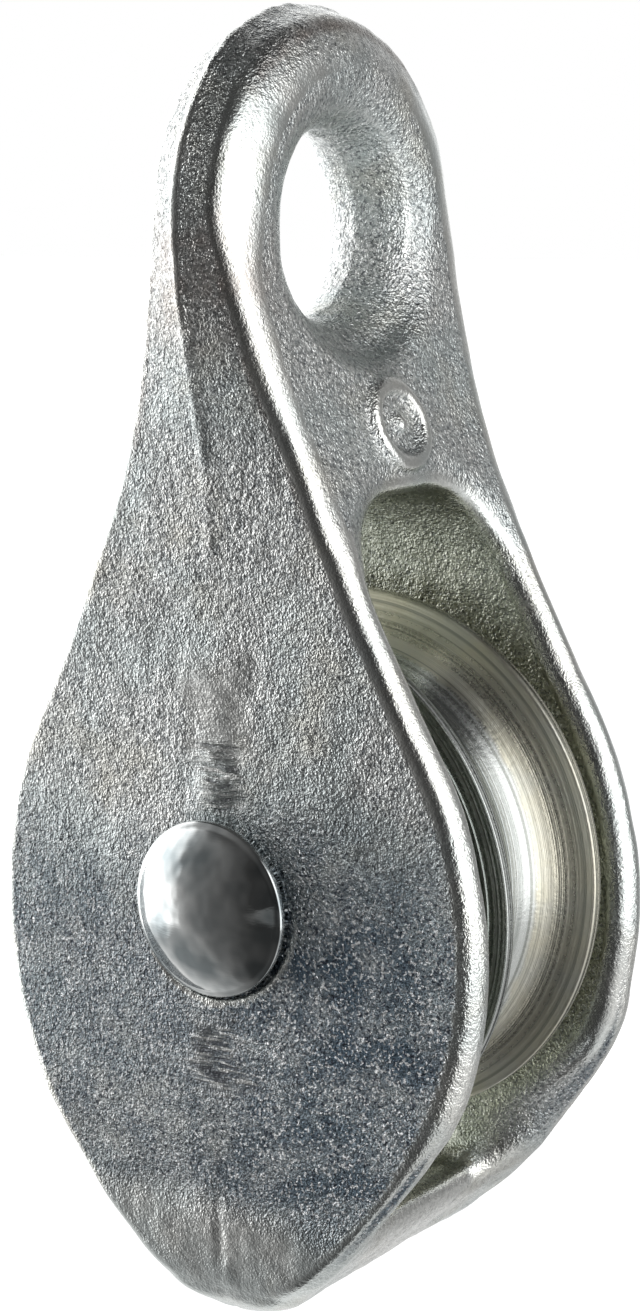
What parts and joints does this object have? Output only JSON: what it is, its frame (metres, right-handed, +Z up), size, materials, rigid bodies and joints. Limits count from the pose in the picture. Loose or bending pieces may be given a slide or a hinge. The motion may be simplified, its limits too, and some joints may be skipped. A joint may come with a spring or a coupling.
{
  "type": "rope pulley",
  "caption": "Hanging rope pulley: cast iron body with an eye on top and two cheeks, and a grooved steel sheave on a riveted axle between them.",
  "frame": {"origin": "centre of the hanging eye, on the eye's axis at mid thickness", "axes": "+Z up, from the axle to the eye; X along the eye's axis, the way the rope runs; Y along the axle, rivet head at -Y"},
  "size_m": [0.0518, 0.0404, 0.1164],
  "materials": {
    "galvanised_iron": "zinc plated casting, grainy",
    "plated_steel": "turned and zinc plated, fine turning marks",
    "polished_steel": "polished",
    "bronze": "sintered, dull"
  },
  "bodies": {
    "casting": {"cast_body": "galvanised_iron", "axle_rivet": "polished_steel", "rivet_washer": "plated_steel"},
    "wheel": {"sheave": "plated_steel", "sheave_bush": "bronze"},
    "front_washer": {"thrust_washer_front": "plated_steel"},
    "back_washer": {"thrust_washer_back": "plated_steel"}
  },
  "joints": [
    {"name": "sheave_spin", "type": "hinge", "parent": "casting", "child": "wheel", "pos_m": [0, 0, -0.0585], "axis": [0, 1, 0], "continuous": true},
    {"name": "front_washer_spin", "type": "hinge", "parent": "casting", "child": "front_washer", "pos_m": [0, 0, -0.0585], "axis": [0, 1, 0], "continuous": true},
    {"name": "back_washer_spin", "type": "hinge", "parent": "casting", "child": "back_washer", "pos_m": [0, 0, -0.0585], "axis": [0, 1, 0], "continuous": true}
  ]
}
